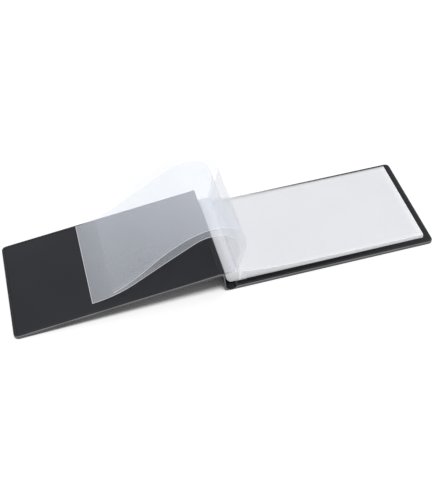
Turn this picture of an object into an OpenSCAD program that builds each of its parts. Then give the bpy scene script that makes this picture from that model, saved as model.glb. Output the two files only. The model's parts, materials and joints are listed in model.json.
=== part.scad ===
// Pocket medal album, lying open with two of its sleeves turned over in an arch.
// X runs from the spine to the free edge of the back cover, Y across the page, Z up.
// The origin is the middle of the back cover's underside.

/* [Covers] */
// Width of each cover, from the spine fold to the free edge
cover_w = 180; // [170:1:200]
// Height of each cover
cover_h = 105; // [100:1:130]
// Thickness of each cover
cover_t = 3; // [2.6:0.1:3.2]
// Radius of the covers' outer corners
corner_r = 4; // [3.5:0.5:8]
// Thickness of the outer skin and of the inner lining
skin_t = 0.5; // [0.3:0.05:0.8]
// Width of the welded edge of skin all round the board
hem_w = 2.5; // [1:0.1:3]

/* [Spine] */
// Distance between the two fold lines of the spine
spine_w = 21.5; // [21:0.5:24]
// Lean of the spine away from upright while the album lies open, in degrees
spine_lean = 22.9; // [15:0.1:30]
// Thickness of the soft spine, skin and lining together
spine_t = 1.2; // [1:0.1:1.4]
// Flat stretch of the soft spine next to the back cover
spine_foot = 2; // [1.5:0.1:2.5]
// Radius of the soft bend between that stretch and the upright part
spine_bend_r = 5.5; // [5:0.1:6]
// Radius of the rolled bead of skin in each fold
bead_r = 1.45; // [1.2:0.05:1.5]
// Distance from a fold line to the edge of a stiff panel
fold_setback = 1.7; // [1.6:0.1:2.5]

/* [Sleeves] */
// Width of a sleeve along the spine
sleeve_w = 93; // [85:1:96]
// Distance from the spine edge of the back cover to the sleeves' free edge
sleeve_reach = 172.5; // [160:0.5:176]
// Number of sleeves lying on the back cover
sleeve_count = 8; // [4:1:8]
// Thickness of one film
film_t = 0.14; // [0.1:0.01:0.16]
// Depth of an empty pocket between its two films
pocket_gap = 0.1; // [0.06:0.01:0.12]
// Width of the welded seams
seam_w = 2.5; // [1.5:0.5:4]
// How far the front film stops short of the back film at the pocket's mouth
mouth_step = 1; // [0.5:0.5:6]
// Step from one sleeve to the next at the root
root_pitch = 1.4; // [1.2:0.05:1.45]
// Step from one sleeve to the next at the free edge
tip_pitch = 0.52; // [0.5:0.01:0.7]

/* [Root] */
// Depth of the bound root, from the spine side to the sleeves
root_depth = 6.4; // [5:0.1:6.4]
// How far the root's spine side bulges in the middle of its height
flank_bulge = 2; // [0:0.1:2]
// Thickness of the strip that binds the root to the back cover
binding_t = 0.4; // [0.3:0.05:0.6]
// Width of the binding strip
binding_w = 10; // [8:0.5:16]
// Thickness of the tape round the spine side of the root
tape_t = 0.5; // [0.3:0.05:0.5]

/* [Turned sleeves] */
// Thickness of a turned sleeve, both films pressed together
turned_t = 0.3; // [0.2:0.02:0.4]
// Sideways drift of a turned sleeve by the time it reaches its free edge
turned_drift = 4; // [0:0.5:5]
// Clearance at each end of a strip, so that it can bend against the next one
strip_gap = 0.25; // [0.2:0.05:0.4]

/* [Hidden] */
$fn = 48;
edge_x = -cover_w / 2;
fold_back = [edge_x - 1, cover_t / 2];
fold_front = fold_back + spine_w * [-sin(spine_lean), cos(spine_lean)];
front_tilt = asin((fold_front[1] - cover_t / 2) / cover_w);

// Soft spine: it starts under the back fold, and its upright part aims at the front fold
spine_start = fold_back + [0, spine_t / 2 - bead_r];
spine_bend_centre = spine_start + [-spine_foot, spine_bend_r];
spine_top = fold_front - [bead_r - spine_t, 0];
spine_aim = spine_top - spine_bend_centre;
spine_heading = atan2(spine_aim[1], spine_aim[0]) - asin(spine_bend_r / norm(spine_aim));
spine_rise = sqrt(spine_aim * spine_aim - spine_bend_r * spine_bend_r);
spine_turn = spine_heading - 180;
spine_arcs = [
    [spine_foot, 0],
    [-spine_turn * PI / 180 * spine_bend_r, spine_turn],
    [spine_rise, 0]
];

// Root block: the binding's rib, the sleeves' side, the spine side, and the bottom
binding_rib = 0.15;
binding_x = edge_x + 1.4;
root_end = edge_x + 4.6;
root_x = root_end - root_depth;
root_z = cover_t + binding_t + binding_rib;
sleeve_t = 2 * film_t + pocket_gap;
spacer_t = root_pitch - sleeve_t;
root_top = root_z + sleeve_count * root_pitch;

// Each sleeve starts a little further out than the one below, so that it can lift freely
first_sleeve_gap = 0.4;
sleeve_step = 0.36;
tip_z = cover_t + 0.3;

// Turned sleeves: where each leaves the root, its first angle, and the strips that it bends in.
// A strip is a row of arcs, each given as its length and the angle that it turns through.
outer_root = [edge_x + 3.2, root_top + 0.4];
outer_angle = 70;
outer_strips = [
    [[26, 3]],
    [[14, 33], [8, 21]],
    [[8, 21], [20, 42]],
    [[26, 20]],
    [[34, 12], [40, -15]]
];
inner_root = [edge_x + 1.15, root_top + 1.4];
inner_angle = 72;
inner_strips = [
    [[12, 3], [14, 14]],
    [[14, 38], [8, 24]],
    [[8, 24], [20, 36]],
    [[60, 2]],
    [[42, -25]]
];
arc_step = 3;
root_tab_t = 0.6;

// Steps of the curved spine, and how far its lining stays clear of the skin and of the beads
spine_steps = 40;
layer_gap = 0.04;
lining_short = bead_r + 0.2;

// Names of the nodes
sleeve_numbers = [1 : sleeve_count];
strip_numbers = [1 : len(outer_strips)];
function back_film_name(k) = str("sleeve_", k, "_back_film");
function front_film_name(k) = str("sleeve_", k, "_front_film");
function outer_name(k) = str("outer_turned_sleeve_strip_", k);
function inner_name(k) = str("inner_turned_sleeve_strip_", k);

skin_colour = "#3a3c40";
lining_colour = "#44464b";
board_colour = "#8a7a62";
film_colour = "#e4e6ea";
root_colour = "#d4d7db";

// Point at the end of an arc that starts at p in direction angle, is length long and turns by turn
function arc_point(p, angle, length, turn) =
    abs(turn) < 0.01
        ? p + length * [cos(angle), sin(angle)]
        : let (r = length / (turn * PI / 180))
          p + r * [sin(angle + turn) - sin(angle), cos(angle) - cos(angle + turn)];

// Point and direction at a distance along a row of arcs that starts at p in direction angle
function along_arcs(p, angle, arcs, distance, i = 0) =
    let (length = arcs[i][0])
    let (turn = arcs[i][1])
    distance <= length || i == len(arcs) - 1
        ? [arc_point(p, angle, distance, turn * distance / length), angle + turn * distance / length]
        : along_arcs(arc_point(p, angle, length, turn), angle + turn, arcs, distance - length, i + 1);

// Length of a strip, and of the first count strips of a turned sleeve
function strip_length(arcs) = [for (arc = arcs) arc[0]] * [for (arc = arcs) 1];
function sleeve_length(strips, count) =
    count == 0 ? 0 : strip_length(strips[count - 1]) + sleeve_length(strips, count - 1);

// Point and direction where strip k of a turned sleeve starts, counted from 0
function strip_start(root, angle, strips, k) =
    k == 0
        ? [root, angle]
        : let (previous = strip_start(root, angle, strips, k - 1))
          along_arcs(previous[0], previous[1], strips[k - 1], strip_length(strips[k - 1]));

// Outline of a band along a row of arcs, between two distances and between two offsets to the left
function band_side(p, angle, arcs, from, to, offset, steps) = [
    for (i = [0 : steps])
        let (at = along_arcs(p, angle, arcs, from + (to - from) * i / steps))
        at[0] + offset * [-sin(at[1]), cos(at[1])]
];
function reversed(list) = [for (i = [len(list) - 1 : -1 : 0]) list[i]];
function band(p, angle, arcs, from, to, low, high, steps) =
    concat(
        band_side(p, angle, arcs, from, to, high, steps),
        reversed(band_side(p, angle, arcs, from, to, low, steps))
    );

// Spine side of the root at a height
function flank_x(z) = root_x - flank_bulge * sin(180 * (z - root_z) / (root_top - root_z));

// Where each sleeve on the back cover is hinged, and how it slopes down to its free edge
function sleeve_x(k) = root_end + first_sleeve_gap + sleeve_step * (k - 1);
function sleeve_z(k) = root_z + root_pitch * (k - 1);
function sleeve_l(k) = edge_x + sleeve_reach - sleeve_x(k);
function sleeve_tilt(k) = asin((sleeve_z(k) - tip_z - tip_pitch * (k - 1)) / sleeve_l(k));

// Plate from x = 0 to w, centred in y, with its two far corners rounded
module panel_outline(w, h, r) {
    square_depth = w - r;
    translate([0, -h / 2]) square([square_depth, h]);
    translate([0, r - h / 2]) square([w, h - 2 * r]);
    for (side = [-1, 1])
        translate([square_depth, side * (h / 2 - r)]) circle(r);
}

// A cover's layers, lying flat from its spine edge outwards, outside face down
module cover_skin_layer(w) {
    difference() {
        linear_extrude(cover_t) panel_outline(w, cover_h, corner_r);
        translate([hem_w, 0, skin_t])
            linear_extrude(cover_t)
                panel_outline(w - 2 * hem_w, cover_h - 2 * hem_w, corner_r - hem_w);
    }
}

module cover_inner_layer(w, thickness) {
    linear_extrude(thickness)
        panel_outline(w - 2 * hem_w, cover_h - 2 * hem_w, corner_r - hem_w);
}

board_t = cover_t - 2 * skin_t;
back_w = cover_w - (fold_back[0] + fold_setback - edge_x);
front_w = cover_w - fold_setback;

module at_back_cover() {
    translate([fold_back[0] + fold_setback, 0, 0]) children();
}

module at_front_cover() {
    translate([fold_front[0], 0, fold_front[1]])
        rotate([0, -front_tilt, 0])
            translate([-fold_setback, 0, -cover_t / 2])
                mirror([1, 0, 0]) children();
}

// Solid with the given (x, z) outline, from one side of the album to the other
module across(width) {
    rotate([90, 0, 0]) linear_extrude(width, center = true) children();
}

module back_cover_skin() color(skin_colour) at_back_cover() cover_skin_layer(back_w);

module back_cover_board() {
    color(board_colour)
        at_back_cover() translate([hem_w, 0, skin_t]) cover_inner_layer(back_w, board_t);
}

module back_cover_lining() {
    color(lining_colour)
        at_back_cover() translate([hem_w, 0, skin_t + board_t]) cover_inner_layer(back_w, skin_t);
}

module front_cover_skin() color(skin_colour) at_front_cover() cover_skin_layer(front_w);

module front_cover_board() {
    color(board_colour)
        at_front_cover() translate([hem_w, 0, skin_t]) cover_inner_layer(front_w, board_t);
}

module front_cover_lining() {
    color(lining_colour)
        at_front_cover() translate([hem_w, 0, skin_t + board_t]) cover_inner_layer(front_w, skin_t);
}

// One layer of the soft spine, between two offsets to its outside and short of both ends
module spine_layer(low, high, short) {
    length = strip_length(spine_arcs);
    across(cover_h)
        polygon(band(spine_start, 180, spine_arcs, short, length - short, low, high, spine_steps));
}

// The skin is the outside of the spine and has a rolled bead in each fold
module spine_skin() {
    color(skin_colour) {
        spine_layer(skin_t - spine_t / 2, spine_t / 2, 0);
        for (fold = [fold_back, fold_front])
            across(cover_h) translate(fold) circle(bead_r);
    }
}

module spine_lining() {
    color(lining_colour) spine_layer(-spine_t / 2, skin_t - spine_t / 2 - layer_gap, lining_short);
}

// Strip welded to the back cover's lining, with a rib on which the root is built up
module binding_strip() {
    color(root_colour)
        translate([binding_x, -sleeve_w / 2, cover_t]) {
            cube([binding_w, sleeve_w, binding_t]);
            cube([root_end - binding_x, sleeve_w, binding_t + binding_rib]);
        }
}

// Layer of the root between two heights, from the bulging spine side to the sleeves
module root_layer(low, high) {
    from_x = max(flank_x(low), flank_x(high));
    translate([from_x, -sleeve_w / 2, low]) cube([root_end - from_x, sleeve_w, high - low]);
}

// Spacers that hold the roots of the sleeves apart, so that filled pockets lie flat
module root_spacers() {
    color(root_colour)
        for (k = sleeve_numbers)
            root_layer(sleeve_z(k) + sleeve_t, sleeve_z(k + 1));
}

// Welded edges of the sleeves, held between the spacers, and the one of the outer turned sleeve
module root_tabs() {
    color(film_colour) {
        for (k = sleeve_numbers)
            root_layer(sleeve_z(k), sleeve_z(k) + sleeve_t);
        translate([outer_root[0] - root_tab_t / 2, -sleeve_w / 2, root_top])
            cube([root_tab_t, sleeve_w, outer_root[1] - root_top - strip_gap]);
    }
}

// Tape round the spine side and the top of the root, whose upturned edge carries the last sleeve
module root_tape() {
    levels = [for (k = sleeve_numbers) each [sleeve_z(k), sleeve_z(k) + sleeve_t]];
    flank = [for (z = concat(levels, [root_top])) [flank_x(z), z]];
    edge = inner_root + [tape_t / 2, -strip_gap];
    tape_top = root_top + tape_t;
    color(film_colour)
        across(sleeve_w)
            polygon(concat(
                flank,
                [[edge[0], root_top], edge, edge - [tape_t, 0], [edge[0] - tape_t, tape_top]],
                [[root_x - tape_t, tape_top]],
                reversed([for (p = flank) p - [tape_t, 0]])
            ));
}

module at_sleeve(k) {
    translate([sleeve_x(k), -sleeve_w / 2, sleeve_z(k)]) rotate([0, sleeve_tilt(k), 0]) children();
}

// Back film of a pocket, with the seams that weld it to the front film on three sides
module back_film(k) {
    length = sleeve_l(k);
    seam_t = film_t + pocket_gap;
    color(film_colour) at_sleeve(k) {
        cube([length, sleeve_w, film_t]);
        cube([seam_w, sleeve_w, seam_t]);
        cube([length, seam_w, seam_t]);
        translate([length - seam_w, 0, 0]) cube([seam_w, sleeve_w, seam_t]);
    }
}

module front_film(k) {
    color(film_colour)
        at_sleeve(k)
            translate([0, 0, film_t + pocket_gap])
                cube([sleeve_l(k), sleeve_w - mouth_step, film_t]);
}

// One strip of a turned sleeve, clear of its neighbours at both ends
module turned_strip(root, angle, strips, k) {
    start = strip_start(root, angle, strips, k);
    length = strip_length(strips[k]);
    middle = sleeve_length(strips, k) + length / 2;
    drift = turned_drift * middle / sleeve_length(strips, len(strips));
    half = turned_t / 2;
    steps = round(length / arc_step);
    outline = band(start[0], start[1], strips[k], strip_gap, length - strip_gap, -half, half, steps);
    color(film_colour)
        translate([0, drift, 0]) across(sleeve_w) polygon(outline);
}

back_cover_skin();
back_cover_board();
back_cover_lining();
spine_skin();
spine_lining();
front_cover_skin();
front_cover_board();
front_cover_lining();
binding_strip();
root_spacers();
root_tabs();
root_tape();
for (k = sleeve_numbers) {
    back_film(k);
    front_film(k);
}
for (k = strip_numbers) {
    turned_strip(outer_root, outer_angle, outer_strips, k - 1);
    turned_strip(inner_root, inner_angle, inner_strips, k - 1);
}
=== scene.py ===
"""Medal album, lying open with two of its clear sleeves turned over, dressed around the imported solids.

Sizes are in metres. X runs from the spine to the free edge of the back cover, Y across the page, Z up.
"""
import json
import math
from contextlib import contextmanager

import bmesh
import bpy
from mathutils import Matrix, Vector


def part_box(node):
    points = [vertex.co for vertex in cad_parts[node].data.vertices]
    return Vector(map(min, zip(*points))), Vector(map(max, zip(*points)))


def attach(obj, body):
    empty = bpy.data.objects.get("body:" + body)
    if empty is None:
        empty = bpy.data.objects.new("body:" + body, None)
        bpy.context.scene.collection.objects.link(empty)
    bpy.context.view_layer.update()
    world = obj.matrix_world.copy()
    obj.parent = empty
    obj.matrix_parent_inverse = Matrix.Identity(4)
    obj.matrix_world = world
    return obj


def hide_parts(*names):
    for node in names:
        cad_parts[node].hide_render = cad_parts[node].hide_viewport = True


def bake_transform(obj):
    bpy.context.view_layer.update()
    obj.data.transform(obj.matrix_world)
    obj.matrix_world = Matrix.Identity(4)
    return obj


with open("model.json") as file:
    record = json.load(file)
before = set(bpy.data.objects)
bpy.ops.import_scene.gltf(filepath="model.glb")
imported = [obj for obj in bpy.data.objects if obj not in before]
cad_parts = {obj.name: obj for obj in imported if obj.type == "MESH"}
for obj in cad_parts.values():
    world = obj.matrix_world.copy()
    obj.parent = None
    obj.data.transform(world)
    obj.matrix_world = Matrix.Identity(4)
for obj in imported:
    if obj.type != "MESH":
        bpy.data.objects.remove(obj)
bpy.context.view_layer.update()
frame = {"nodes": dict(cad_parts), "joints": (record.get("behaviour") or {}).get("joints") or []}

# A millimetre, the distance within which two places are one, and the turn in degrees that counts as none
MM = 0.001
NEAR = 1e-5
STRAIGHT = 0.01

# Sizes that the frame gives
joint_place = {joint["name"]: Vector(joint["pos_m"]) for joint in frame["joints"]}
cover_low, cover_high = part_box("back_cover_skin")
lining_low, lining_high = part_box("back_cover_lining")
cover_w = 2 * cover_high.x
cover_h = cover_high.y - cover_low.y
cover_t = cover_high.z - cover_low.z
edge_x = -cover_w / 2
hem_w = cover_high.y - lining_high.y
skin_t = lining_high.z - lining_low.z
fold_back = joint_place["spine_hinge"]
fold_front = joint_place["front_cover_hinge"]
fold_setback = cover_low.x - fold_back.x
front_tilt = math.asin((fold_front.z - cover_t / 2) / cover_w)
back_w = cover_high.x - cover_low.x
front_w = cover_w - fold_setback
film_low, film_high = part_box("sleeve_1_back_film")
sleeve_w = film_high.y - film_low.y
mouth_step = film_high.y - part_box("sleeve_1_front_film")[1].y
sleeve_count = sum(name.endswith("_lift") for name in joint_place)
spacers_low, spacers_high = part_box("root_spacers")
root_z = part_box("root_tabs")[0].z
root_top = spacers_high.z
root_end = spacers_high.x
root_pitch = (root_top - root_z) / sleeve_count

# Sizes of the covers and the spine
corner_r = 4 * MM
rim_slope = 0.6 * MM
edge_round = 0.6 * MM
weld_groove = 0.4 * MM
spine_t = 1.2 * MM
spine_foot = 2 * MM
spine_bend_r = 5.5 * MM
bead_r = 1.45 * MM
web_reach = 1.2 * MM
back_web_hollow = 1.2 * MM
back_web_round = 1.1 * MM
front_web_round = 1.6 * MM

# Sizes of the sleeves
film_t = 0.14 * MM
pocket_gap = 0.1 * MM
turned_t = 0.24 * MM
rim_w = 0.45 * MM
weld_line_w = 0.35 * MM
seam_w = 2.5 * MM
end_room = 4 * MM
sag_short = 20 * MM
sag_long = 70 * MM
sag_short_share = 0.6
hang_share = 0.62

# Sizes of the turned sleeves
turned_drift = 4 * MM
turned_step = 2 * MM
least_steps = 4
first_bend = 6 * MM
outer_lead_r = 0.33 * MM
outer_lead_start = 1.5 * MM
inner_lead_depths = (2 * MM, 1 * MM, 0.5 * MM)
fade_length = 40 * MM
cloudy_overlap = 0.8 * MM
crest_heights = (45 * MM, 65 * MM)

# Sizes of the root
leaf_gap = 0.12 * MM
leaf_round_share = 0.42
flank_lean = 7.4 * MM
lean_foot = 1.6 * MM
lean_rise = 3.6 * MM
flank_shade = 1.5 * MM
tape_t = 0.25 * MM
tape_rise = 1.2 * MM
tape_drop = 0.4 * MM
tape_roll = ((0.25 * MM, 0.35 * MM), (0.8 * MM, 0.5 * MM))

# Turned sleeves: first heading in degrees, and the strips that each bends in, as arcs of a length in
# millimetres and a turn in degrees
OUTER_HEADING = 70
OUTER_STRIPS = [
    [(26, 3)],
    [(14, 33), (8, 21)],
    [(8, 21), (20, 42)],
    [(26, 20)],
    [(34, 12), (40, -15)],
]
INNER_HEADING = 72
INNER_STRIPS = [
    [(12, 3), (14, 14)],
    [(14, 38), (8, 24)],
    [(8, 24), (20, 36)],
    [(60, 2)],
    [(42, -25)],
]
outer_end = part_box(f"outer_turned_sleeve_strip_{len(OUTER_STRIPS)}")[0]
inner_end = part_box(f"inner_turned_sleeve_strip_{len(INNER_STRIPS)}")[0]

# Places of the further finishes in a piece's list of materials
WELDED_EDGE_HIGHLIGHT, COVER_SIDE_REFLECTION = 1, 2
FILM_EDGE, FILM_WELD, SHADED_FILM_SIDE = 1, 2, 3
LEAF_END = 1

# Limits of a normal's part along an axis: an upright face is under, a level or facing one over its limit
UPRIGHT, LEVEL, FACING = 0.15, 0.97, 0.2


# Modelling helpers

def deselect():
    bpy.ops.object.select_all(action="DESELECT")


def only(piece):
    """Makes one object the only selected and active one."""
    deselect()
    piece.select_set(True)
    bpy.context.view_layer.objects.active = piece


def added(name):
    """Names the primitive that was just added and applies its place and size."""
    piece = bpy.context.object
    piece.name = name
    piece.data.name = name
    bpy.ops.object.transform_apply(location=True, rotation=True, scale=True)
    return piece


def slab(name, low, high):
    """Cube primitive with the two given corners."""
    low, high = Vector(low), Vector(high)
    deselect()
    bpy.ops.mesh.primitive_cube_add(size=1, location=(low + high) / 2, scale=high - low)
    return added(name)


@contextmanager
def editing(piece):
    only(piece)
    bpy.ops.object.mode_set(mode="EDIT")
    yield
    bpy.ops.object.mode_set(mode="OBJECT")


def pick(piece, kind, test):
    """Selects the vertices, edges or faces of a piece in edit mode whose middle passes the test."""
    bpy.ops.mesh.select_mode(type=kind)
    bpy.ops.mesh.select_all(action="DESELECT")
    mesh = bmesh.from_edit_mesh(piece.data)
    if kind == "VERT":
        found = [v for v in mesh.verts if test(v.co)]
    elif kind == "EDGE":
        found = [e for e in mesh.edges if test((e.verts[0].co + e.verts[1].co) / 2, e)]
    else:
        found = [f for f in mesh.faces if test(f.calc_center_median(), f.normal)]
    for element in found:
        element.select_set(True)
    mesh.select_flush_mode()
    bmesh.update_edit_mesh(piece.data)


def move(step):
    bpy.ops.transform.translate(value=step)


def extrude(step):
    bpy.ops.mesh.extrude_region_move(TRANSFORM_OT_translate={"value": step})


def cut(point, normal):
    """Cuts all faces in edit mode along a plane and keeps both sides."""
    bpy.ops.mesh.select_all(action="SELECT")
    bpy.ops.mesh.bisect(plane_co=point, plane_no=normal)


def round_off(size, segments):
    """Rounds the edges that are selected in edit mode."""
    bpy.ops.mesh.bevel(offset=size, segments=segments, affect="EDGES")


def assign(piece, index):
    """Gives the faces that are selected in edit mode another one of the piece's materials."""
    piece.active_material_index = index
    bpy.ops.object.material_slot_assign()


def apply_modifier(piece, kind, **settings):
    only(piece)
    modifier = piece.modifiers.new(kind.title(), kind)
    for key, value in settings.items():
        setattr(modifier, key, value)
    bpy.ops.object.modifier_apply(modifier=modifier.name)


def smooth(piece, degrees=35):
    only(piece)
    bpy.ops.object.shade_smooth_by_angle(angle=math.radians(degrees))


def put(piece, place):
    """Moves a piece that was made at the origin to its place, and applies that."""
    only(piece)
    piece.matrix_world = place
    bpy.ops.object.transform_apply(location=True, rotation=True, scale=True)


def wear(piece, *materials):
    for material in materials:
        piece.data.materials.append(material)


# Curves in the (x, z) plane

def flat(x, z):
    return Vector((x, 0, z))


def arc_end(point, heading, length, turn):
    """End of an arc with a heading and a turn in degrees."""
    a, b = math.radians(heading), math.radians(heading + turn)
    if abs(turn) < STRAIGHT:
        return point + length * Vector((math.cos(a), math.sin(a)))
    radius = length / math.radians(turn)
    return point + radius * Vector((math.sin(b) - math.sin(a), math.cos(a) - math.cos(b)))


def along(root, heading, arcs, distance):
    """Point at a distance along a row of arcs."""
    point = root
    for i, (length, turn) in enumerate(arcs):
        if distance <= length or i == len(arcs) - 1:
            return arc_end(point, heading, distance, turn * distance / length)
        point = arc_end(point, heading, length, turn)
        heading += turn
        distance -= length


def ribbon(name, points, near_y, far_y, materials, bands=()):
    """Sheet along a row of points, with lengthwise bands that wear other ones of its materials."""
    deselect()
    bpy.ops.mesh.primitive_plane_add(size=1)
    piece = added(name)
    wear(piece, *materials)
    with editing(piece):
        bpy.ops.transform.resize(value=(1, far_y - near_y, 1))
        move((0, (near_y + far_y) / 2, 0))
        for plane_end, point in ((-0.5, points[0]), (0.5, points[1])):
            pick(piece, "VERT", lambda place: abs(place.x - plane_end) < NEAR)
            move(point - Vector((plane_end, 0, 0)))
        middle = (points[0] + points[1]) / 2
        first = (points[1] - points[0]).normalized()
        across = Vector((0, 1, 0)) - first.y * first
        for low, high, index in bands:
            for y in (low, high):
                if near_y + NEAR < y < far_y - NEAR:
                    cut((middle.x, y + middle.y, middle.z), across)
            pick(piece, "FACE", lambda mid, normal: low < mid.y - middle.y < high)
            assign(piece, index)
        pick(piece, "EDGE", lambda mid, edge: all(
            (v.co.xz - points[1].xz).length < NEAR for v in edge.verts))
        for before, after in zip(points[1:], points[2:]):
            extrude(after - before)
    return piece


# Material helpers

PATTERN_MIDDLE = (0.35, 0.65)


def new_material(name):
    material = bpy.data.materials.new(name)
    material.use_nodes = True
    tree = material.node_tree
    return material, tree, tree.nodes["Principled BSDF"]


def node(tree, kind, **values):
    """Adds a node and sets its properties and the constant values of its sockets."""
    made = tree.nodes.new(kind)
    for key, value in values.items():
        if key in made.inputs:
            made.inputs[key].default_value = value
        else:
            setattr(made, key, value)
    return made


def link(tree, output, socket):
    tree.links.new(output, socket)


def pattern_place(tree):
    return tree.nodes.new("ShaderNodeTexCoord").outputs["Object"]


def noise(tree, place, scale, detail=2.0, roughness=0.5):
    made = node(tree, "ShaderNodeTexNoise", Scale=scale, Detail=detail, Roughness=roughness)
    link(tree, place, made.inputs["Vector"])
    return made.outputs["Fac"]


def ramp(tree, factor, dark, light):
    """Colour that goes from dark to light over the middle of a pattern's range."""
    made = tree.nodes.new("ShaderNodeValToRGB")
    for element, at, colour in zip(made.color_ramp.elements, PATTERN_MIDDLE, (dark, light)):
        element.position = at
        element.color = (*colour, 1)
    link(tree, factor, made.inputs["Fac"])
    return made.outputs["Color"]


def spread(tree, factor, low, high, start=0, end=1):
    """Value that goes from low to high while a factor goes from start to end."""
    limits = {"From Min": start, "From Max": end, "To Min": low, "To Max": high}
    made = node(tree, "ShaderNodeMapRange", **limits)
    link(tree, factor, made.inputs["Value"])
    return made.outputs["Result"]


def graded(tree, axis, start, end, low, high):
    """Value that goes from low to high between two places along an axis."""
    split = tree.nodes.new("ShaderNodeSeparateXYZ")
    link(tree, pattern_place(tree), split.inputs["Vector"])
    return spread(tree, split.outputs[axis], low, high, start, end)


def darken(material, axis, start, end, low, high):
    """Scales the base colour of a material from low to high between two places along an axis."""
    tree = material.node_tree
    colour = tree.nodes["Principled BSDF"].inputs["Base Color"]
    made = tree.nodes.new("ShaderNodeHueSaturation")
    link(tree, colour.links[0].from_socket, made.inputs["Color"])
    link(tree, graded(tree, axis, start, end, low, high), made.inputs["Value"])
    link(tree, made.outputs["Color"], colour)


def make_cloudier(material, axis, start, end, low, high):
    """Scales the alpha of a film from low to high between two places along an axis."""
    tree = material.node_tree
    alpha = tree.nodes["Principled BSDF"].inputs["Alpha"]
    made = node(tree, "ShaderNodeMath", operation="MULTIPLY")
    made.inputs[0].default_value = alpha.default_value
    if alpha.links:
        link(tree, alpha.links[0].from_socket, made.inputs[0])
    link(tree, graded(tree, axis, start, end, low, high), made.inputs[1])
    link(tree, made.outputs["Value"], alpha)


def bump(tree, shader, height, depth, strength, under=None):
    made = node(tree, "ShaderNodeBump", Strength=strength, Distance=depth)
    link(tree, height, made.inputs["Height"])
    if under is not None:
        link(tree, under, made.inputs["Normal"])
    link(tree, made.outputs["Normal"], shader.inputs["Normal"])
    return made.outputs["Normal"]


# Materials, with a dark and a light colour each

TURNED_FILM_COLOURS = (0.84, 0.885, 0.985), (0.86, 0.905, 1.0)
BRIGHT_FILM_COLOURS = (0.93, 0.94, 0.96), (0.97, 0.975, 0.985)


def leatherette(name, dark, light, gloss=0.3):
    """Pressed leather grain: small cells with worn tops over a soft unevenness."""
    grain = 0.05 * MM
    material, tree, shader = new_material(name)
    place = pattern_place(tree)
    cells = node(tree, "ShaderNodeTexVoronoi", feature="SMOOTH_F1", Scale=1150.0)
    link(tree, place, cells.inputs["Vector"])
    fine = noise(tree, place, scale=2600.0, detail=3.0)
    cloud = noise(tree, place, scale=45.0, detail=3.0)
    link(tree, ramp(tree, cloud, dark, light), shader.inputs["Base Color"])
    link(tree, spread(tree, fine, low=0.42, high=0.62), shader.inputs["Roughness"])
    shader.inputs["Specular IOR Level"].default_value = gloss
    fine_normal = bump(tree, shader, fine, depth=0.3 * grain, strength=0.6)
    bump(tree, shader, cells.outputs["Distance"], depth=grain, strength=0.7, under=fine_normal)
    return material


def matte_lining(name, dark, light, gloss=0.25):
    """Smooth lining foil with a very fine haze."""
    material, tree, shader = new_material(name)
    place = pattern_place(tree)
    fine = noise(tree, place, scale=5200.0)
    cloud = noise(tree, place, scale=14.0)
    link(tree, ramp(tree, cloud, dark, light), shader.inputs["Base Color"])
    link(tree, spread(tree, fine, low=0.5, high=0.62), shader.inputs["Roughness"])
    shader.inputs["Specular IOR Level"].default_value = gloss
    bump(tree, shader, fine, depth=0.012 * MM, strength=0.5)
    return material


def clear_film(name, dark, light, alpha):
    """Frosted film, mostly see-through."""
    material, tree, shader = new_material(name)
    place = pattern_place(tree)
    cloud = noise(tree, place, scale=30.0, detail=3.0)
    haze = noise(tree, place, scale=1800.0)
    link(tree, ramp(tree, cloud, dark, light), shader.inputs["Base Color"])
    link(tree, spread(tree, haze, low=0.2, high=0.32), shader.inputs["Roughness"])
    shader.inputs["Alpha"].default_value = alpha
    shader.inputs["IOR"].default_value = 1.49
    bump(tree, shader, haze, depth=0.002 * MM, strength=0.3)
    return material


def turned_film(name, end_share):
    """Film of a turned sleeve, cloudier to its far side and its crest, and greyer towards its crest as
    painted shade.

    Where the outer sleeve ends, it has the given share of its cloudiness."""
    finish = clear_film(name, *TURNED_FILM_COLOURS, alpha=0.15)
    make_cloudier(finish, "Y", -sleeve_w / 2, sleeve_w / 2, low=0.87, high=1.2)
    make_cloudier(finish, "X", outer_end.x, outer_end.x + fade_length, low=end_share, high=1)
    make_cloudier(finish, "Z", *crest_heights, low=1, high=1.15)
    # Painted shade: greyer towards the crest
    darken(finish, "Z", *crest_heights, low=1, high=0.955)
    return finish


def cloudy_film(name):
    """Film of the inner turned sleeve's end, as cloudy as two films."""
    finish = clear_film(name, *TURNED_FILM_COLOURS, alpha=0.224)
    make_cloudier(finish, "Y", -sleeve_w / 2, sleeve_w / 2, low=0.87, high=1.125)
    make_cloudier(finish, "X", inner_end.x, outer_end.x, low=0.8, high=0.98)
    return finish


def milky_plastic(name, dark, light):
    """Welded film ends that let little light through."""
    material, tree, shader = new_material(name)
    cloud = noise(tree, pattern_place(tree), scale=160.0, detail=3.0)
    link(tree, ramp(tree, cloud, dark, light), shader.inputs["Base Color"])
    link(tree, spread(tree, cloud, low=0.35, high=0.5), shader.inputs["Roughness"])
    bump(tree, shader, cloud, depth=0.03 * MM, strength=0.4)
    return material


def greyboard(name, dark, light):
    """Pressed board with short fibres."""
    material, tree, shader = new_material(name)
    fibres = noise(tree, pattern_place(tree), scale=700.0, detail=5.0, roughness=0.7)
    link(tree, ramp(tree, fibres, dark, light), shader.inputs["Base Color"])
    shader.inputs["Roughness"].default_value = 0.9
    bump(tree, shader, fibres, depth=0.06 * MM, strength=0.6)
    return material


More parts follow.
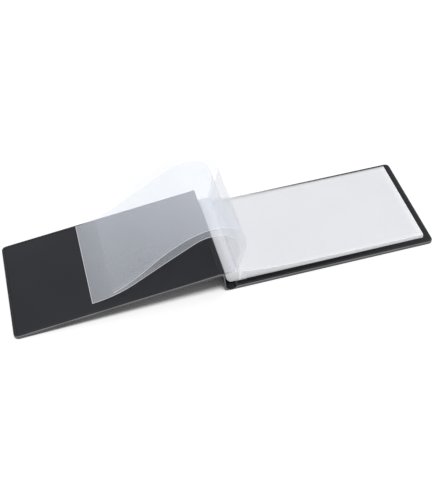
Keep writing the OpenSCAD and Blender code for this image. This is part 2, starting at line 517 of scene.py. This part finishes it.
cover_skin_finish = leatherette("cover_skin", (0.007, 0.0075, 0.0098), (0.011, 0.0115, 0.0142))
# Painted highlight: lighter skin for the welded rims and for the ends of the spine and its webs, where the
# glossy edge catches the light
welded_edge_highlight_finish = leatherette("welded_edge_highlight", (0.15, 0.15, 0.16), (0.2, 0.2, 0.215), gloss=0.4)
# Painted reflection: lighter skin on the covers' upright sides, standing for the white floor that they
# mirror
cover_side_reflection_finish = leatherette("cover_side_reflection", (0.06, 0.06, 0.065), (0.085, 0.085, 0.09), gloss=0.4)
lining_finish = matte_lining("cover_lining", (0.0075, 0.0085, 0.0115), (0.0105, 0.0115, 0.015))
back_lining_shaded_finish = matte_lining("back_lining_painted_shade", (0.014, 0.015, 0.0175), (0.017, 0.018, 0.021), gloss=0.15)
# Painted shade: the back lining goes near-black towards the fold, where the stack of sleeves shades it
darken(back_lining_shaded_finish, "X", start=0, end=0.4 * cover_w, low=0.15, high=1)
pocket_film_finish = clear_film("pocket_film", (0.855, 0.865, 0.9), (0.875, 0.885, 0.92), alpha=0.076)
outer_film_finish = turned_film("outer_turned_film", end_share=0.12)
inner_film_finish = turned_film("inner_turned_film", end_share=1.447)
cloudy_film_finish = cloudy_film("cloudy_film")
film_edge_finish = clear_film("film_edge", *BRIGHT_FILM_COLOURS, alpha=0.42)
film_weld_finish = clear_film("film_weld", *BRIGHT_FILM_COLOURS, alpha=0.18)
# Painted shade: the hanging near sides of the sleeves are greyer, as the shaded side of the stack, and
# cloudier, as film seen edge-on
shaded_film_side_finish = clear_film("film_side_painted_shade", (0.62, 0.635, 0.665), (0.66, 0.675, 0.7), alpha=0.45)
tape_finish = clear_film("root_tape", (0.88, 0.89, 0.92), (0.91, 0.92, 0.95), alpha=0.25)
root_shaded_finish = milky_plastic("root_plastic", (0.68, 0.69, 0.72), (0.74, 0.75, 0.78))
# Painted shade: the root's plastic darkens towards the spine, where it leans into the fold and the dark
# spine shows through
darken(root_shaded_finish, "X", start=edge_x - flank_lean, end=edge_x + flank_shade, low=0.6, high=1)
root_end_finish = milky_plastic("root_end", (0.93, 0.935, 0.95), (0.95, 0.955, 0.97))
board_finish = greyboard("greyboard", (0.2, 0.17, 0.13), (0.36, 0.32, 0.26))


# Covers

def panel(name, length, width, height, corner):
    """Plate that lies from x = 0 outwards, centred in y, with its two far corners rounded."""
    piece = slab(name, (0, -width / 2, 0), (length, width / 2, height))
    with editing(piece):
        pick(piece, "EDGE", lambda mid, edge: mid.x > length - NEAR and abs(mid.z - height / 2) < NEAR)
        round_off(corner, segments=8)
    return piece


def cover_skin(name, length, near_side):
    """Outer skin of a cover: a shallow tray with a welded hem, with a painted highlight on the near side's
    rim and a painted floor reflection on its upright sides.
    """
    piece = panel(name, length, cover_h, cover_t, corner_r)
    wear(piece, cover_skin_finish, welded_edge_highlight_finish, cover_side_reflection_finish)
    with editing(piece):
        pick(piece, "FACE", lambda mid, normal: normal.z > LEVEL)
        bpy.ops.mesh.inset(thickness=hem_w)
        extrude((0, 0, skin_t - cover_t))
        for level, size in ((cover_t, rim_slope), (0, edge_round)):
            pick(piece, "EDGE", lambda mid, edge: on_outer_rim(mid, edge, length, level))
            round_off(size, segments=4)
        # Painted highlight on the rim that slopes to the near side
        pick(piece, "FACE", lambda mid, normal: (
            UPRIGHT < normal.z < LEVEL and normal.y * near_side > FACING))
        assign(piece, WELDED_EDGE_HIGHLIGHT)
        # Painted reflection of the floor on the upright sides of the outline
        pick(piece, "FACE", lambda mid, normal: is_outside(mid, length) and abs(normal.z) < UPRIGHT)
        assign(piece, COVER_SIDE_REFLECTION)
    return piece


def on_outer_rim(mid, edge, length, level):
    """Whether an edge runs along the outline of a cover at a level, away from the fold."""
    at_level = all(abs(v.co.z - level) < NEAR for v in edge.verts)
    return at_level and mid.x > NEAR and all(is_outside(v.co, length) for v in edge.verts)


def is_outside(point, length):
    """Whether a point lies on the outline of a cover."""
    straight = abs(abs(point.y) - cover_h / 2) < NEAR or point.x > length - NEAR
    centre = Vector((length - corner_r, math.copysign(cover_h / 2 - corner_r, point.y)))
    on_corner = abs((point.xy - centre).length - corner_r) < 5 * NEAR
    return straight or (on_corner and point.x > centre.x - NEAR)


def cover_lining(name, length, finish):
    """Inner lining of a cover, whose round upper edge leaves a weld groove next to the hem."""
    piece = panel(name, length - 2 * hem_w, cover_h - 2 * hem_w, skin_t, corner_r - hem_w)
    wear(piece, finish)
    with editing(piece):
        pick(piece, "EDGE", lambda mid, edge: mid.z > skin_t - NEAR)
        round_off(weld_groove, segments=3)
    put(piece, Matrix.Translation((hem_w, 0, cover_t - skin_t)))
    return piece


def dress_cover(body, length, place, near_side, finish):
    """Skin and lining of a cover. Its near side in the photo has the given sign of y before it is put."""
    skin = cover_skin(body + "_leatherette", length, near_side)
    lining = cover_lining(body + "_lining_foil", length, finish)
    for piece, old_node, slot_name in (
        (skin, "_skin", "cover_skin"),
        (lining, "_lining", "cover_lining"),
    ):
        put(piece, place)
        smooth(piece)
        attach(piece, body)
        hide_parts(body + old_node)


back_place = Matrix.Translation((cover_low.x, 0, 0))
front_place = (
    Matrix.Translation(fold_front)
    @ Matrix.Rotation(-front_tilt, 4, "Y")
    @ Matrix.Translation((-fold_setback, 0, -cover_t / 2))
    @ Matrix.Rotation(math.pi, 4, "Z")
)
dress_cover("back_cover", back_w, back_place, -1, back_lining_shaded_finish)
dress_cover("front_cover", front_w, front_place, 1, lining_finish)


# Spine: one soft band, with a web of skin in each fold

def spine_band():
    """Start and arcs of the band's middle line: a foot at the back cover, a bend and an upright part."""
    start = Vector((fold_back.x, fold_back.z + spine_t / 2 - bead_r))
    centre = start + Vector((-spine_foot, spine_bend_r))
    aim = Vector((fold_front.x - bead_r + spine_t, fold_front.z)) - centre
    turn = 180 - math.degrees(math.atan2(aim.y, aim.x) - math.asin(spine_bend_r / aim.length))
    rise = math.sqrt(aim.length_squared - spine_bend_r ** 2)
    return start, [(spine_foot, 0), (math.radians(turn) * spine_bend_r, -turn), (rise, 0)]


def on_spine(distance):
    """Point at a distance along the band's middle line, which starts out to the left."""
    return along(spine_start, 180, spine_arcs, distance)


def spine_layer(name, side, *materials):
    """Outer or inner half of the band's thickness, between the two webs."""
    steps = 48
    reach = spine_length - 2 * web_reach
    points = [flat(*on_spine(web_reach + reach * i / steps)) for i in range(steps + 1)]
    piece = ribbon(name, points, -cover_h / 2, cover_h / 2, materials)
    apply_modifier(piece, "SOLIDIFY", thickness=spine_t / 2, offset=side, material_offset_rim=1)
    smooth(piece)
    return piece


def fold_web(name, outline, corner, size):
    """Web of skin that fills a fold: a prism with the given (x, z) outline and one round corner."""
    deselect()
    bpy.ops.mesh.primitive_circle_add(vertices=len(outline), fill_type="NGON")
    piece = added(name)
    wear(piece, cover_skin_finish, welded_edge_highlight_finish)
    places = [vertex.co.copy() for vertex in piece.data.vertices]
    with editing(piece):
        for old, point in zip(places, outline):
            pick(piece, "VERT", lambda place: (place - old).length < NEAR)
            move(flat(*point) - Vector((0, cover_h / 2, 0)) - old)
        bpy.ops.mesh.select_all(action="SELECT")
        extrude((0, cover_h, 0))
        pick(piece, "EDGE", lambda mid, edge: (mid - flat(*corner)).length < NEAR)
        round_off(size, segments=10)
        bpy.ops.mesh.select_all(action="SELECT")
        bpy.ops.mesh.normals_make_consistent(inside=False)
        # Painted highlight on the web's ends
        pick(piece, "FACE", lambda mid, normal: abs(normal.y) > FACING)
        assign(piece, WELDED_EDGE_HIGHLIGHT)
    smooth(piece)
    return piece


def back_web():
    """From the back cover's edge to the foot of the spine, hollow on the inside."""
    foot = on_spine(web_reach)
    half = Vector((0, spine_t / 2))
    hollow = Vector((cover_low.x - back_web_hollow, foot.y + half.y))
    outline = [(cover_low.x, cover_t), hollow, foot + half, foot - half, (cover_low.x, 0)]
    piece = fold_web("back_fold_web", outline, hollow, back_web_round)
    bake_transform(piece)


def front_web():
    """From the top of the spine to the front cover's edge, round on the inside."""
    heading = math.radians(180 + spine_arcs[1][1])
    up = Vector((math.cos(heading), math.sin(heading)))
    inside = Vector((up.y, -up.x))
    top = on_spine(spine_length - web_reach)
    out = Vector((-math.cos(front_tilt), -math.sin(front_tilt)))
    over = Vector((out.y, -out.x))
    panel_end = fold_front.xz + fold_setback * out
    panel_top = panel_end + cover_t / 2 * over
    inner = top + spine_t / 2 * inside
    corner = inner + (panel_top - inner).dot(over) / up.dot(over) * up
    outline = [top - spine_t / 2 * inside, inner, corner, panel_top, panel_end - cover_t / 2 * over]
    piece = fold_web("front_fold_web", outline, corner, front_web_round)
    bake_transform(piece)


spine_start, spine_arcs = spine_band()
spine_length = sum(length for length, turn in spine_arcs)
# The rims of the spine's outer skin wear the painted highlight
spine_outside = spine_layer("spine_leatherette", 1, cover_skin_finish, welded_edge_highlight_finish)
spine_inside = spine_layer("spine_lining_foil", -1, lining_finish, cover_skin_finish)
for made, old_node, slot_name in (
    (spine_outside, "spine_skin", "cover_skin"),
    (spine_inside, "spine_lining", "cover_lining"),
):
    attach(made, "spine")
    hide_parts(old_node)
back_web()
front_web()


# Film sheets

def film_sheet(name, line, near_y, far_y, thickness, film, drifts=None, end_rim=True, drops=None):
    """Sheet of film along a line of (x, z) points, with bright rims and weld lines on its free sides.

    It can drift to the far side along the line, end without a rim, and hang down on its near side."""
    drifts = drifts or [0] * len(line)
    points = [Vector((x, drift, z)) for (x, z), drift in zip(line, drifts)]
    seam_y = near_y + seam_w
    bands = [
        (near_y, near_y + rim_w, FILM_EDGE),
        (far_y - rim_w, far_y, FILM_WELD),
        (seam_y, seam_y + weld_line_w, FILM_WELD),
    ]
    finishes = (film, film_edge_finish, film_weld_finish, shaded_film_side_finish)
    piece = ribbon(name, points, near_y, far_y, finishes, bands)
    with editing(piece):
        if end_rim:
            for before, after, index in ((-2, -1, FILM_EDGE), (-4, -3, FILM_WELD)):
                stretch = (points[before] + points[after]) / 2
                pick(piece, "FACE", lambda mid, normal: (mid.xz - stretch.xz).length < NEAR)
                assign(piece, index)
        if drops:
            hang_near_side(piece, points, near_y, drops)
    apply_modifier(piece, "SOLIDIFY", thickness=thickness, offset=0)
    smooth(piece)
    # Clear film hardly dims the light that passes it
    piece.visible_shadow = False
    piece.visible_diffuse = False
    return piece


def hang_near_side(piece, points, near_y, drops):
    """Lets the near side of a sheet hang down, with a drop for each of its points."""
    deepest = max(drops)
    pick(piece, "EDGE", lambda mid, edge: all(v.co.y < near_y + NEAR for v in edge.verts))
    extrude((0, 0, -deepest))
    for point, drop in zip(points, drops):
        pick(piece, "VERT", lambda place: (
            abs(place.x - point.x) < NEAR and place.z < point.z - deepest / 2))
        move((0, 0, deepest - drop))
    # The hanging sides wear the film with painted shade
    pick(piece, "FACE", lambda mid, normal: mid.y < near_y + NEAR)
    assign(piece, SHADED_FILM_SIDE)


def end_marks(length):
    """Distances of the weld line and the rim at the free end of a sleeve."""
    return [length - seam_w - weld_line_w, length - seam_w, length - rim_w, length]


# Sleeves on the back cover

def sag(distance):
    """Share of the rise to its root that a sleeve still has: 1 at the root, towards 0 far from it."""
    near_root = sag_short_share * math.exp(-distance / sag_short)
    return near_root + (1 - sag_short_share) * math.exp(-distance / sag_long)


def sleeve_height(k, x):
    """Height of the middle line of a sleeve that lies on the back cover."""
    root = joint_place[f"sleeve_{k}_lift"]
    low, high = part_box(f"sleeve_{k}_back_film")
    tip_z = low.z + film_t + pocket_gap / 2
    rest = sag(high.x - root.x)
    return tip_z + (root.z - tip_z) * (sag(x - root.x) - rest) / (1 - rest)


def sleeve_marks(k):
    """Places along a sleeve, closer together near its root, with its weld line and its rim at the end."""
    steps, crowding = 28, 1.5
    root_x = joint_place[f"sleeve_{k}_lift"].x
    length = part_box(f"sleeve_{k}_back_film")[1].x - root_x
    distances = [(length - end_room) * (i / steps) ** crowding for i in range(steps + 1)]
    return [root_x + d for d in distances + end_marks(length)]


def sleeve_on_back_cover(k):
    """Back and front film of a sleeve, whose near side hangs down towards the sleeve below."""
    marks = sleeve_marks(k)
    shift = (film_t + pocket_gap) / 2
    drops = None
    if k > 1:
        drops = [hang_share * (sleeve_height(k, x) - sleeve_height(k - 1, x)) for x in marks]
    for part, side, far_y, hanging in (
        ("back", -1, sleeve_w / 2, drops),
        ("front", 1, sleeve_w / 2 - mouth_step, None),
    ):
        line = [(x, sleeve_height(k, x) + side * shift) for x in marks]
        film = film_sheet(f"sleeve_{k}_{part}_sheet", line, -sleeve_w / 2, far_y,
                          film_t, pocket_film_finish, drops=hanging)
        # Only the lowest sleeve shades the lining
        film.visible_shadow = k == 1
        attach(film, f"sleeve_{k}")
        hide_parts(f"sleeve_{k}_{part}_film")


for k in range(1, sleeve_count + 1):
    sleeve_on_back_cover(k)


# Turned sleeves

def turned_sleeve(name, heading, strips, film_finish, lead_in, end_rim, cloudy_end=0):
    """Row of film sheets from the root to the free end, which meet in the middles of the strips.

    A cloudy end of the given length is a sheet of its own."""
    root = joint_place[f"{name}_turned_bend_1"].xz
    arcs = [(length * MM, turn) for strip in strips for length, turn in strip]
    lengths = [sum(length for length, turn in strip) * MM for strip in strips]
    total = sum(lengths)
    middles = [sum(lengths[:i]) + lengths[i] / 2 for i in range(len(strips))]
    cuts = [0, *middles[:-1], total - cloudy_end]
    stretches = [(*ends, k, film_finish) for k, ends in enumerate(zip(cuts, cuts[1:]), 1)]
    if cloudy_end:
        stretches.append((total - cloudy_end, total, len(strips), cloudy_film_finish))
    for i, (begin, end, k, finish) in enumerate(stretches, 1):
        last = i == len(stretches)
        distances = turned_marks(begin, end, last)
        line = [tuple(along(root, heading, arcs, d)) for d in distances]
        drifts = [turned_drift * d / total for d in distances]
        if i == 1:
            line = lead_in(root) + line
            drifts = [0] * (len(line) - len(drifts)) + drifts
        film = film_sheet(f"{name}_turned_sheet_{i}", line, -sleeve_w / 2, sleeve_w / 2, turned_t,
                          finish, drifts, end_rim=last and end_rim)
        bend_start = root if k == 1 else along(root, heading, arcs, middles[k - 2])
        bend_end = along(root, heading, arcs, first_bend if k == 1 else middles[k - 1])
        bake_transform(film)
        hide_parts(f"{name}_turned_sleeve_strip_{k}")


def turned_marks(begin, end, last):
    """Distances along one sheet of a turned sleeve, the last one with its weld line and its rim."""
    steps = max(least_steps, round((end - begin) / turned_step))
    reach = end - end_room if last else end
    distances = [begin + (reach - begin) * i / steps for i in range(steps + 1)]
    return distances + end_marks(end) if last else distances


def outer_lead_in(root):
    """The outer sleeve comes out of the root's top and curves upwards."""
    steps = 6
    turn = math.radians(OUTER_HEADING)
    bottom = root + Vector((-outer_lead_r * math.sin(turn), -outer_lead_r * (1 - math.cos(turn))))
    angles = [turn * i / steps for i in range(steps)]
    bend = [tuple(bottom + outer_lead_r * Vector((math.sin(a), 1 - math.cos(a)))) for a in angles]
    return [(spacers_low.x + outer_lead_start, bottom.y), *bend]


def inner_lead_in(root):
    """The inner sleeve comes out of the tape's upper edge."""
    return [(root.x, root.y - depth) for depth in inner_lead_depths]


turned_sleeve("outer", OUTER_HEADING, OUTER_STRIPS, outer_film_finish, outer_lead_in, end_rim=False)
turned_sleeve("inner", INNER_HEADING, INNER_STRIPS, inner_film_finish, inner_lead_in, end_rim=True,
              cloudy_end=outer_end.x - inner_end.x + cloudy_overlap)


# Root of the sleeves: layered leaves under a film of tape, leaning over against the spine

def lean_x(z):
    """Spine side of the root at a height, while the album lies open."""
    return edge_x - flank_lean * (1 - math.exp((lean_foot - z) / lean_rise))


def lean(piece):
    """Bakes the place of a piece of the root into its mesh."""
    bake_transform(piece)


def root_leaf(k):
    """Welded end of one sleeve, round on its spine side and cut into columns."""
    columns = 10
    low = root_z + (k - 1) * root_pitch
    high = low + root_pitch - leaf_gap
    from_x = lean_x((low + high) / 2)
    piece = slab(f"root_leaf_{k}", (from_x, -sleeve_w / 2, low), (root_end, sleeve_w / 2, high))
    wear(piece, root_shaded_finish, root_end_finish)
    with editing(piece):
        pick(piece, "FACE", lambda mid, normal: abs(normal.y) > FACING)
        assign(piece, LEAF_END)
        pick(piece, "EDGE", lambda mid, edge: mid.x < from_x + NEAR and abs(mid.y) < NEAR)
        round_off(leaf_round_share * (high - low), segments=4)
        for i in range(1, columns):
            cut((from_x + (root_end - from_x) * i / columns, 0, 0), (1, 0, 0))
    smooth(piece)
    lean(piece)
    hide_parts("root_spacers", "root_tabs")


def root_tape():
    """Film over the root's spine side and top, up to the foot of the inner turned sleeve."""
    side_steps, top_steps = 12, 8
    foot = joint_place["inner_turned_bend_1"]
    shoulder = root_top + tape_rise
    heights = [root_z + (shoulder - root_z) * i / side_steps for i in range(side_steps + 1)]
    side = [flat(lean_x(z) - tape_t, z) for z in heights]
    roll = [side[-1] + flat(*step) for step in tape_roll]
    end = foot - flat(0, tape_drop)
    top = [roll[-1].lerp(end, i / top_steps) for i in range(1, top_steps + 1)]
    piece = ribbon("root_tape_film", side + roll + top, -sleeve_w / 2, sleeve_w / 2, [tape_finish])
    apply_modifier(piece, "SOLIDIFY", thickness=tape_t, offset=0)
    smooth(piece, degrees=60)
    lean(piece)
    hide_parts("root_tape")


for k in range(1, sleeve_count + 1):
    root_leaf(k)
root_tape()

# Solids that stay as they are, inside the covers and under the root
for name, finish in (
    ("binding_strip", root_shaded_finish),
    ("back_cover_board", board_finish),
    ("front_cover_board", board_finish),
):
    solid = frame["nodes"][name]
    solid.data.materials.clear()
    wear(solid, finish)


# Floor, light and camera

CAMERA_PLACE = Vector((-206.67, -526.72, 585.4)) * MM
CAMERA_YAW, CAMERA_PITCH, CAMERA_ROLL = (math.radians(a) for a in (12.2527, 47.4635, -3.6107))
CAMERA_LENS = 65.16
FLOOR_GREY, SEEN_FLOOR_GREY = 0.95, 1.08
WORLD_STRENGTH, SEEN_WORLD_STRENGTH = 0.36, 1
SUN_STRENGTH = 2.12
SUN_PLACE = Vector((0.05, -0.25, 1))
SUN_SPREAD = 20


def seen_rays(tree):
    """1 for rays that show a surface to the camera, also by a reflection or through a film."""
    rays = tree.nodes.new("ShaderNodeLightPath")
    seen = rays.outputs["Is Camera Ray"]
    for kind in ("Is Glossy Ray", "Is Transmission Ray"):
        either = node(tree, "ShaderNodeMath", operation="MAXIMUM")
        link(tree, seen, either.inputs[0])
        link(tree, rays.outputs[kind], either.inputs[1])
        seen = either.outputs["Value"]
    return seen


def studio_floor():
    deselect()
    bpy.ops.mesh.primitive_plane_add(size=6)
    floor = added("studio_floor")
    material, tree, shader = new_material("studio_floor")
    shader.inputs["Roughness"].default_value = 1
    shader.inputs["Specular IOR Level"].default_value = 0
    link(tree, spread(tree, seen_rays(tree), FLOOR_GREY, SEEN_FLOOR_GREY), shader.inputs["Base Color"])
    wear(floor, material)


def studio_light():
    world = bpy.data.worlds.new("studio")
    world.use_nodes = True
    tree = world.node_tree
    background = tree.nodes["Background"]
    background.inputs["Color"].default_value = (1, 1, 1, 1)
    strength = spread(tree, seen_rays(tree), WORLD_STRENGTH, SEEN_WORLD_STRENGTH)
    link(tree, strength, background.inputs["Strength"])
    bpy.context.scene.world = world
    deselect()
    bpy.ops.object.light_add(type="SUN", location=SUN_PLACE)
    key = bpy.context.object
    key.name = "soft_key"
    key.data.energy = SUN_STRENGTH
    key.data.angle = math.radians(SUN_SPREAD)
    key.rotation_euler = (-SUN_PLACE).to_track_quat("-Z", "Y").to_euler()


def studio_camera():
    deselect()
    bpy.ops.object.camera_add(location=CAMERA_PLACE)
    camera = bpy.context.object
    camera.name = "photo_camera"
    camera.data.sensor_width = 36
    camera.data.lens = CAMERA_LENS
    camera.data.clip_start, camera.data.clip_end = 0.01, 20
    turned = Matrix.Rotation(-CAMERA_YAW, 4, "Z")
    tipped = Matrix.Rotation(math.pi / 2 - CAMERA_PITCH, 4, "X")
    rolled = Matrix.Rotation(CAMERA_ROLL, 4, "Z")
    camera.matrix_world = Matrix.Translation(CAMERA_PLACE) @ turned @ tipped @ rolled
    bpy.context.scene.camera = camera


studio_floor()
studio_light()
studio_camera()
bpy.context.scene.view_settings.view_transform = "Standard"
# Enough for a look through all the films
bpy.context.scene.cycles.transparent_max_bounces = 64
